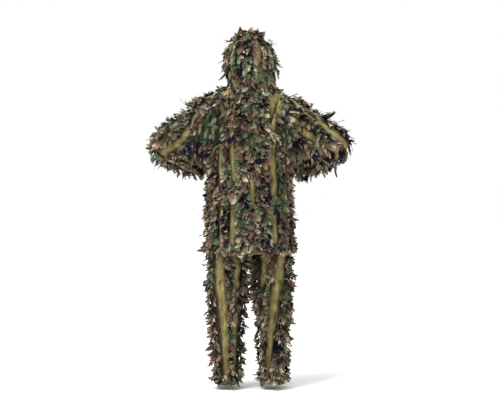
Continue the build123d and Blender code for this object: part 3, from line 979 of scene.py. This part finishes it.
def armhole(side, back):
    """u and v of points on the jacket body just short of the armhole, behind or in front of it."""
    vs = np.linspace(.50, .93, 34)
    us = np.linspace(0, .25, 120) if back else np.linspace(.5, .25, 120)
    p = torso(side * us[None, :] + 0 * vs[:, None], vs[:, None] + 0 * us[None, :], 0 * vs[:, None] * us)
    inside = inside_sleeve(p.reshape(-1, 3), .0).reshape(p.shape[:2])
    first = inside.argmax(1)
    found = inside.any(1)
    return side * us[np.maximum(first[found] - 3, 0)], vs[found]


for side, word in SIDES:
    arm = sleeve(side)
    upper = Foliage(30 + side, MIXED, .90, (10, 34), .3, patches=True)
    lower = Foliage(40 + side, MIXED, .92 - .10 * side, (12, 38), .26 - .16 * side, patches=True)
    for centre, width in strips_between(ARM_BANDS[side], arm_round, .02, settling):
        upper.strip(arm, centre, width, .02 / SLEEVE, ARM_SPLIT, arm_round,
                    lambda p: ~inside_torso(p, .002))
        lower.strip(arm, centre, width, ARM_SPLIT, .985, arm_round)
    for which, low, high, count in ARM_COVER[side]:
        cover(upper if high / SLEEVE < ARM_SPLIT else lower, arm,
              settling(*ARM_BANDS[side][which][:2]), low / SLEEVE, high / SLEEVE, count)
    for back in (True, False):
        us, vs = armhole(side, back)
        facing_arm = side * (1 if back else -1)
        for size, spread in ((.052, .35), (.044, .8)):
            ok = upper.rng.random(len(us)) < (.92 if back else .8)
            turn = facing_arm * .9 + upper.rng.normal(0, spread, ok.sum())
            upper.scatter(torso, us[ok], vs[ok] + upper.rng.uniform(-.01, .01, ok.sum()), turn,
                          size, .038, (6, 30))
    top = 22                      # leaves that stand up on the shoulder
    upper.scatter(arm, -.17 + upper.rng.uniform(-.05, .05, top), upper.rng.uniform(.07, .2, top),
                  .8, .046, .034, (24, 58), 1)
    # a ring of leaves over the cuff
    lower.scatter(arm, np.arange(0, 1, .05), .965, .4, .036, .030, (8, 40), 1)
    upper.finish(f"{word}_shoulder_leaves", shoulder_bend(side, word),
                 f"{word}_upper_sleeve_leaf_strips")
    lower.finish(f"{word}_elbow_leaves", elbow_bend(side, word), f"{word}_forearm_leaf_strips")


foliage = Foliage(50, MIXED, .84, (3, 20), .25, patches=True)
rng = foliage.rng
for centre, width in strips_between(HOOD_BANDS, hood_round, .014):
    if abs(float(centre(0)) - .5) > .04:
        foliage.strip(hood, centre, lambda v, width=width: np.minimum(width(v), .075), .95, .05,
                      hood_round, outside_face, (.018, .022), .75, float(abs(centre(0))) < .25)
us = rng.random(54)               # the crown, then rings of leaves round its top
foliage.scatter(hood, us, .975 - .13 * rng.random(54), 1.2, .034, .028, (4, 24), -1)
for v, count in ((.930, 20), (.955, 16), (.975, 12), (.988, 8), (.995, 6)):
    us = np.arange(count) / count + rng.uniform(-.02, .02, count)
    foliage.scatter(hood, us, v, .5, .034, .034, (0, 14), -1)
# the lower edge, then the rim of the face opening
foliage.scatter(hood, np.arange(-.46, .46, .026), .085, .35, .052, .034, (6, 34), -1)
edge = np.linspace(0, TAU, 46, endpoint=False) + rng.uniform(-.05, .05, 46)
rim_x, rim_h = FACE_W * 1.09 * np.cos(edge), FACE_H + FACE_TALL * 1.09 * np.sin(edge)
rim_v = (rim_h - HOOD[0][0]) / HOOD_SPAN
rim_u = .5 - np.arcsin(np.clip(rim_x / glide(HOOD, rim_h)[:, 0], -1, 1)) / TAU
outward = np.arctan2(-np.cos(edge), -np.sin(edge))
foliage.scatter(hood, rim_u, rim_v, outward + rng.normal(0, .3, 46), .044, .032, (10, 40), -1)
foliage.finish("hood_leaves", "hood", "hood_leaf_strips")

# Flat leaves on the seat, which the jacket covers until the trousers slide down
foliage, count = Foliage(80, BROAD, .80, tip_droop=0, curl=.2), 520
us, vs = foliage.rng.random(count), foliage.rng.uniform(.03, .93, count)
foliage.scatter(seat, us, vs, .8, .044, .036, (0, 5))
foliage.finish("trouser_seat_leaves", "trousers")

for side, word in SIDES:
    limb = leg(side)
    upper = Foliage(60 + side, SPIKY, .86, (8, 32), .15)
    lower = Foliage(70 + side, SPIKY, .92, (14, 50), .15)
    for centre, width in strips_between(LEG_BANDS[side], leg_round, .012):
        upper.strip(limb, centre, width, leg_v(.652), leg_v(LEG_SPLIT), leg_round)
        lower.strip(limb, centre, width, leg_v(LEG_SPLIT), leg_v(.030), leg_round)
    for which, low, high, count in LEG_COVER[side]:
        centre = drifting(*LEG_BANDS[side][which][:2])
        for part, bottom, top in ((lower, low, min(high, LEG_SPLIT)), (upper, LEG_SPLIT, high)):
            if top > bottom:
                some = int(count * (top - bottom) / (high - low))
                cover(part, limb, centre, leg_v(bottom), leg_v(top), some)
    # more leaves on the inner side, where the two legs meet
    for count, low, high, foliage in ((48, .53, .645, upper), (26, .44, .52, lower)):
        us = .75 + foliage.rng.uniform(-.09, .09, count)
        vs = leg_v(foliage.rng.uniform(low, high, count))
        foliage.scatter(limb, us, vs, .9, .046, .036, (30, 62))
    for v, size in ((.070, .040), (.048, .034)):    # over the ankle's hem
        lower.scatter(limb, np.arange(0, 1, .03), v, .45, size, .030, (14, 56))
    upper.finish(f"{word}_thigh_leaves", hip_bend(word), f"{word}_thigh_leaf_strips")
    lower.finish(f"{word}_shin_leaves", knee_bend(word), f"{word}_shin_leaf_strips")


# ---------------------------------------------------------------- bands, binding and zip
def fold(top, end, thick):
    """Section of a folded hem, down its outside and up its inside: v, lift, share of the gathers."""
    high, middle, low = top - (top - end) * .08, (top + end) / 2, end + (top - end) * .1
    return ((top, .0016, 0), (high, thick, .2), (middle, thick + .0012, 1), (low, thick, 1),
            (end, 0, .9), (low, -.0022, .8), (middle, -.0030, .6), (top, -.0026, 0))


def hoop(name, surface, profile, material, gathers, depth, points=0):
    """A gathered band round a surface: closed, or with points to count, open at the zip."""
    close = not points
    us = np.linspace(0, 1, 193)[:-1] if close else np.linspace(-.4935, .4935, points)
    rows = np.array(profile, float)
    ripple_u = np.sin(TAU * gathers * us) + .4 * np.sin(TAU * (gathers * .37 + 3) * us + 1)
    lift = rows[:, 1:2] + depth * rows[:, 2:3] * ripple_u[None, :]
    p = surface(us[None, :] + 0 * lift, rows[:, :1] + 0 * lift, lift)
    n, m = p.shape[:2]
    index = np.arange(n * m).reshape(n, m)
    nxt = np.roll(index, -1, 1) if close else index[:, 1:]
    here = index if close else index[:, :-1]
    quads = np.stack((here[:-1], nxt[:-1], nxt[1:], here[1:]), -1).reshape(-1, 4)
    girth = np.append(0, np.linalg.norm(np.diff(p[0], axis=0), axis=1).cumsum())
    section = np.append(0, np.linalg.norm(np.diff(p[:, 0], axis=0), axis=1).cumsum())
    uv = np.stack(np.meshgrid(girth, section), -1).reshape(-1, 2)
    return mesh_piece(name, p.reshape(-1, 3), quads, uv, np.ones(p.size // 3), material)


def tape_cloth(name, base):
    """Woven tape: fine ribs, rubbed paler in places."""
    n = Nodes(name)
    cloth = n.add("UVMap", uv_map="cloth")
    ribs, worn = n.weave(cloth, .0016), n.noise(cloth, 40, 3, .6)
    colour = n.mix(n.ramp(worn, (.35, 0), (.75, 1)), base, scaled(base, 1.5))
    colour = n.mix(n.ramp(ribs, (.1, 0), (.8, .7)), colour, scaled(base, .6))
    bump = n.bump(ribs, .6, .0005, n.bump(worn, .5, .002))
    rough = n.ramp(worn, (.2, .7), (.8, .9))
    return n.set(Base_Color=colour, Roughness=rough, Normal=bump, Specular_IOR_Level=.3)


def solid_finish(name, base, pitch, rough, metallic, wear):
    """A CAD solid's finish in object space: fine ribs or grain, dust in patches and rubbed edges."""
    n = Nodes(name)
    where = n.add("TexCoord", out=3)
    patch = n.noise(where, 35, 4, .6)
    grain = n.noise(n.shifted(where, (0, 0, 0), (1, 1, .3)), 1 / pitch, 2, .5)
    edge = n.add("NewGeometry", out=7)
    pale, dark = scaled(base, 1.9, .02), scaled(base, .55)
    colour = n.mix(n.ramp(patch, (.3, 0), (.8, wear)), base, pale)
    colour = n.mix(n.ramp(grain, (.45, 0), (.7, .6)), colour, dark)
    colour = n.mix(n.ramp(edge, (.52, 0), (.60, wear)), colour, pale)
    bump = n.bump(grain, .5, pitch * .4)
    roughness = n.ramp(patch, (.2, rough - .1), (.8, min(rough + .1, 1)))
    return n.set(Base_Color=colour, Roughness=roughness, Normal=bump, Metallic=metallic)


HEM_CLOTH = mesh_cloth("olive_hem_cloth", srgb(98, 90, 54), .0018)
BINDING = tape_cloth(TAPE, srgb(84, 78, 50))
piece = hoop("jacket_hem", torso, fold(.032, -.001, .0035), HEM_CLOTH, 41, .0012, 260)
fasten(piece, "jacket", MESH, "jacket_hem_band")
piece = hoop("neck_seam", torso, fold(.999, .965, .0030), BINDING, 47, .0016, 220)
fasten(piece, "jacket", TAPE, "neck_seam_band")
piece = hoop("trouser_waistband", seat, fold(.995, .91, .0030), HEM_CLOTH, 38, .0020)
fasten(piece, "trousers", MESH, "waistband")
for side, word in SIDES:
    piece = hoop(f"{word}_ankle_hem", leg(side), fold(.042, .001, .0030), HEM_CLOTH, 21, .0022)
    fasten(piece, f"{word}_shin", MESH, f"{word}_ankle_hem_band")
    cuff = fold(1 - .032 / SLEEVE, 1 + .001 / SLEEVE, .0030)
    piece = hoop(f"{word}_cuff", sleeve(side), cuff, HEM_CLOTH, 23, .0022)
    fasten(piece, f"{word}_forearm_sleeve", MESH, f"{word}_cuff_band")


def face_line(angle, grow=1.0):
    """Points on the hood's front, round the edge of the face opening."""
    x, h = FACE_W * grow * np.cos(angle), FACE_H + FACE_TALL * grow * np.sin(angle)
    ring = glide(HOOD, h)
    deep = (ring[..., 1] - ring[..., 2]) / 2
    y = (ring[..., 1] + ring[..., 2]) / 2 - deep * np.sqrt(np.clip(1 - (x / ring[..., 0]) ** 2, .02, 1))
    return np.stack((x, y, h - NECK), -1)


def face_binding():
    """The puckered, rolled edge of the face opening: a ring of oval sections."""
    around, section = np.linspace(0, TAU, 181)[:-1], np.linspace(0, TAU, 11)[:-1]
    line = face_line(around)
    along = unit(np.roll(line, -1, 0) - np.roll(line, 1, 0))
    outward = unit(face_line(around, 1.03) - line)
    facing = unit(np.cross(along, outward))
    puckers = (1 + .16 * np.sin(46 * around) + .06 * np.sin(17 * around))[:, None, None]
    ring = (line[:, None] + .0052 * puckers * np.cos(section)[None, :, None] * outward[:, None]
            + .0042 * puckers * np.sin(section)[None, :, None] * facing[:, None])
    index = np.arange(len(around) * len(section)).reshape(len(around), -1)
    ahead = np.roll(index, -1, 0)
    quads = np.stack((index, ahead, np.roll(ahead, -1, 1), np.roll(index, -1, 1)), -1)
    uv = np.stack(np.meshgrid(section * .004, around * .082), -1).reshape(-1, 2)
    return mesh_piece("face_binding", ring.reshape(-1, 3), quads.reshape(-1, 4), uv, None, BINDING)


fasten(face_binding(), "hood", TAPE, "face_opening_binding")

ZIP_LOW, ZIP_HIGH = np.array((0, -.172, .655 - NECK)), np.array((0, -.105, 0.0))
ZIP_UP = unit(ZIP_HIGH - ZIP_LOW)
ZIP_OUT = np.array((0, -ZIP_UP[2], ZIP_UP[1]))


def zip_coils(material):
    """Two rows of moulded coil loops that mesh along the front edge."""
    pitch, corners = .0024, 8
    turns = np.arange(.015, .799, pitch)
    angle = np.linspace(0, TAU, corners + 1)[:-1, None]
    rings = (-.9, .0010), (.1, .00115), (1.0, .0009)    # place across a loop, and its radius there
    verts, quads = [], []
    for side in (-1, 1):
        for s in turns + (pitch / 2 if side > 0 else 0):
            centre = ZIP_LOW + s * ZIP_UP + .0006 * ZIP_OUT
            start = len(verts) * corners
            for place, radius in rings:
                x = side * (.0013 + .0014 * place)
                verts.append(centre + x * np.array((1, 0, 0)) + radius * (
                    np.cos(angle) * ZIP_UP * .8 + np.sin(angle) * ZIP_OUT))
            for j in range(len(rings) - 1):
                for i in range(corners):
                    a, b = start + corners * j + i, start + corners * j + (i + 1) % corners
                    quads.append((a, b, b + corners, a + corners))
            quads.append((start, start + 2, start + 4, start + 6))
            quads.append((start + 22, start + 20, start + 18, start + 16))
    return mesh_piece("zip_coils", np.concatenate(verts), quads, None, None, material)


ZIP_PLASTIC = solid_finish("zip_coil", srgb(62, 58, 40), .0006, .45, 0.0, .25)
fasten(zip_coils(ZIP_PLASTIC), "jacket", "zip_coil", "zip_chain")

# Finishes of the CAD solids that stay, by material slot
FINISHES = {
    "zip_metal": solid_finish("zip_metal", srgb(70, 66, 58), .0008, .38, .85, .6),
    "elastic_webbing": solid_finish("elastic_webbing", srgb(58, 55, 44), .0014, .8, 0.0, .3),
    "zip_tape_cloth": solid_finish("zip_tape_cloth", srgb(82, 76, 46), .0012, .85, 0.0, .3),
    TAPE: solid_finish("binding_tape_solid", srgb(84, 78, 50), .0012, .85, 0.0, .3),
}
SLOT_OF = {row["node"]: row["material_slot"] for row in frame["record"]["subparts"]}
for name, node in frame["nodes"].items():
    finish = FINISHES.get(SLOT_OF.get(name))
    if finish:
        for place in node.material_slots:
            place.material = finish


# ---------------------------------------------------------------- sheets of cloth
# Each sheet: its cut width and length, its flat area where the cut isn't a rectangle, how it is
# held, and the pieces sewn to it.
SHEETS = [("jacket_back_cloth", (.64, .86), .46, "hung", ("jacket_back_leaves", "jacket_hem")),
          ("trouser_seat_cloth", (1.04, .40), None, "gathered",
           ("trouser_seat_leaves", "trouser_waistband"))]
for word, seam in (("left", "neck_seam"), ("right", "hood_leaves")):
    SHEETS += [(f"{word}_{part}_cloth", flat, area, held, sewn) for part, flat, area, held, sewn in (
        ("front", (.31, .84), .23, "hung", (f"{word}_front_leaves",)),
        ("shoulder", (.72, .24), None, "gathered", (f"{word}_shoulder_leaves",)),
        ("elbow", (.50, .46), None, "gathered", (f"{word}_elbow_leaves", f"{word}_cuff")),
        ("hood", (.36, .36), .085, "hung", (seam,)),
        ("thigh", (.50, .23), None, "hung", (f"{word}_thigh_leaves",)),
        ("shin", (.50, .53), .22, "hung", (f"{word}_shin_leaves", f"{word}_ankle_hem")))]
for name, flat, area, held, sewn in SHEETS:
    [bpy.data.objects[n] for n in sewn]


# ---------------------------------------------------------------- studio
def place_in_scene(name, data, place=(0, 0, 0)):
    thing = bpy.data.objects.new(name, data)
    thing.location = place
    bpy.context.scene.collection.objects.link(thing)
    return thing


floor_z, far = -NECK - .024, 30   # just under the lowest leaf tips
floor = mesh_piece("floor", [(-far, -far, floor_z), (far, -far, floor_z), (far, far, floor_z),
                             (-far, far, floor_z)], [(0, 1, 2, 3)])
pale = Nodes("pale_floor")
floor.data.materials.append(pale.set(Base_Color=(.93, .93, .93, 1), Roughness=.9))

world = bpy.data.worlds.new("studio")
world.use_nodes = True
world.node_tree.nodes["Background"].inputs[0].default_value = (1, 1, 1, 1)
world.node_tree.nodes["Background"].inputs[1].default_value = 1.0
bpy.context.scene.world = world

key_data = bpy.data.lights.new("key", "AREA")
key_data.shape, key_data.size, key_data.energy = "DISK", 1.2, 46
key = place_in_scene("key", key_data, (1.9, 2.5, 1.8))
middle = Vector((0, 0, -.55))
key.rotation_mode = "QUATERNION"
key.rotation_quaternion = (middle - key.location).to_track_quat("-Z", "Y")
sun_data = bpy.data.lights.new("sun", "SUN")
sun_data.energy, sun_data.angle = 3.5, math.radians(30)
sun = place_in_scene("sun", sun_data)
sun.rotation_euler = (math.radians(-17), math.radians(27), 0)

camera_data = bpy.data.cameras.new("camera")
camera_data.lens, camera_data.sensor_width = 64.8, 36
camera = place_in_scene("camera", camera_data, (0, 4.5, .915 - NECK))
camera.rotation_euler = (math.radians(90), 0, math.radians(180))
bpy.context.scene.camera = camera
bpy.context.scene.view_settings.view_transform = "Standard"
